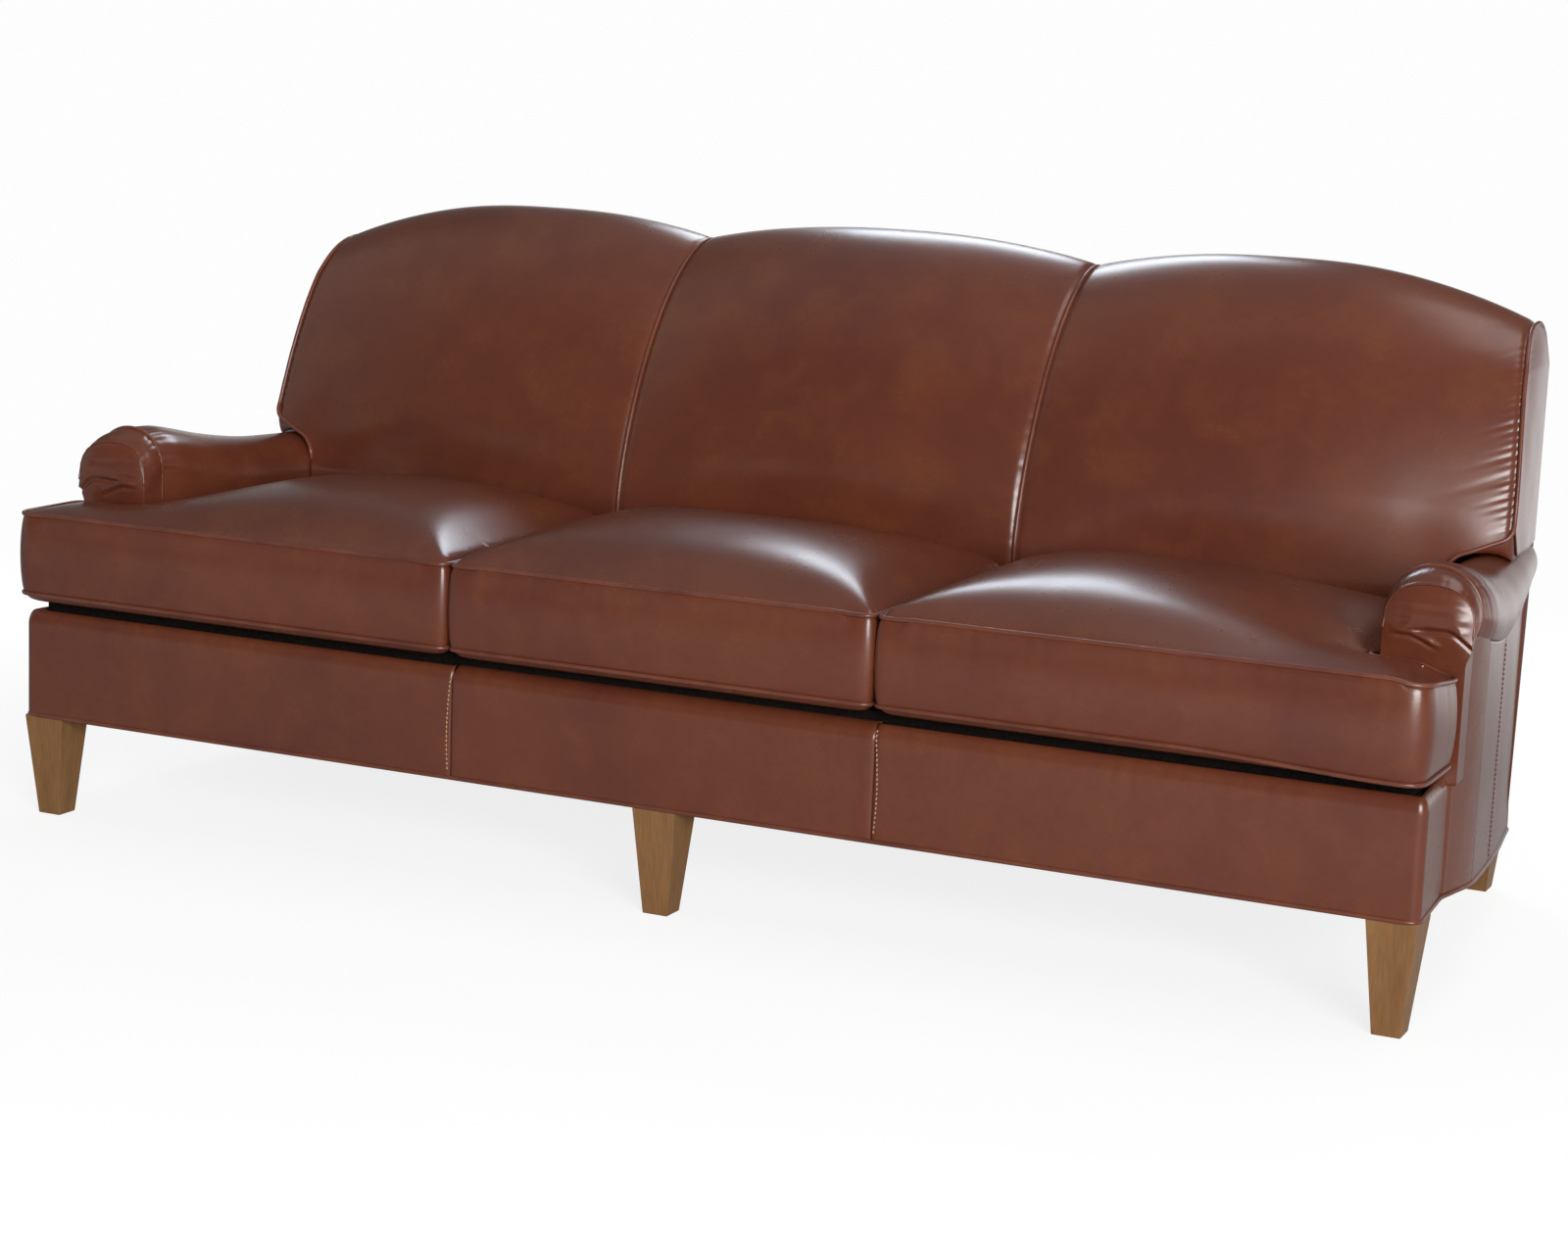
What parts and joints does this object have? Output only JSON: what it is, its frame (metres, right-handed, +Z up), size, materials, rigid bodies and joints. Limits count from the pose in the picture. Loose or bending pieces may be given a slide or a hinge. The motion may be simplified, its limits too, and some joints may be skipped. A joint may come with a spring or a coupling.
{
  "type": "camelback sofa",
  "caption": "Leather camelback sofa with a humped tight back, set-back roll arms, loose crowned box cushions with ears at the ends, and tapered wooden legs.",
  "frame": {"origin": "on the floor, under the middle of the overall box", "axes": "+X along the sofa, to the right as seen from the front; the seat faces -Y; +Z up"},
  "size_m": [2.228, 0.896, 0.948],
  "materials": {
    "leather": "reddish brown, semi-gloss, soft mottling",
    "leg_wood": "golden brown, satin lacquer",
    "frame_wood": "bare hardwood",
    "spring_steel": "drawn wire",
    "foam": "open-cell foam",
    "felt": "pressed fibre pad",
    "lining": "thin black non-woven cloth"
  },
  "bodies": {
    "frame": {"arm_facing_left": "leather", "arm_facing_right": "leather", "arm_pad_left": "leather", "arm_pad_right": "leather", "arm_post_front_left": "frame_wood", "arm_post_front_right": "frame_wood", "arm_post_rear_left": "frame_wood", "arm_post_rear_right": "frame_wood", "arm_rail_left": "frame_wood", "arm_rail_right": "frame_wood", "back_pad_centre": "leather", "back_pad_left": "leather", "back_pad_right": "leather", "back_post_left": "frame_wood", "back_post_right": "frame_wood", "back_top_rail": "frame_wood", "back_upright_left": "frame_wood", "back_upright_right": "frame_wood", "dust_cover": "lining", "end_panel_left": "leather", "end_panel_right": "leather", "front_corner_block_left": "frame_wood", "front_corner_block_right": "frame_wood", "front_leg_centre": "leg_wood", "front_leg_left": "leg_wood", "front_leg_right": "leg_wood", "front_rail": "frame_wood", "outside_arm_left": "leather", "outside_arm_right": "leather", "outside_back": "leather", "rail_cover_centre": "leather", "rail_cover_left": "leather", "rail_cover_right": "leather", "rear_corner_block_left": "frame_wood", "rear_corner_block_right": "frame_wood", "rear_leg_centre": "leg_wood", "rear_leg_left": "leg_wood", "rear_leg_right": "leg_wood", "rear_rail": "frame_wood", "seat_back_rail": "frame_wood", "seat_deck_pad": "felt", "seat_spring_centre_1": "spring_steel", "seat_spring_centre_2": "spring_steel", "seat_spring_centre_3": "spring_steel", "seat_spring_left_1": "spring_steel", "seat_spring_left_2": "spring_steel", "seat_spring_left_3": "spring_steel", "seat_spring_right_1": "spring_steel", "seat_spring_right_2": "spring_steel", "seat_spring_right_3": "spring_steel", "seat_stretcher_left": "frame_wood", "seat_stretcher_right": "frame_wood", "side_rail_left": "frame_wood", "side_rail_right": "frame_wood"},
    "cushion_left": {"cushion_casing_left": "leather", "cushion_core_left": "foam"},
    "cushion_centre": {"cushion_casing_centre": "leather", "cushion_core_centre": "foam"},
    "cushion_right": {"cushion_casing_right": "leather", "cushion_core_right": "foam"}
  },
  "joints": [
    {"name": "cushion_left_lift", "type": "slide", "parent": "frame", "child": "cushion_left", "axis": [0, 0, 1], "range_m": [0, 0.4]},
    {"name": "cushion_centre_lift", "type": "slide", "parent": "frame", "child": "cushion_centre", "axis": [0, 0, 1], "range_m": [0, 0.4]},
    {"name": "cushion_right_lift", "type": "slide", "parent": "frame", "child": "cushion_right", "axis": [0, 0, 1], "range_m": [0, 0.4]}
  ]
}
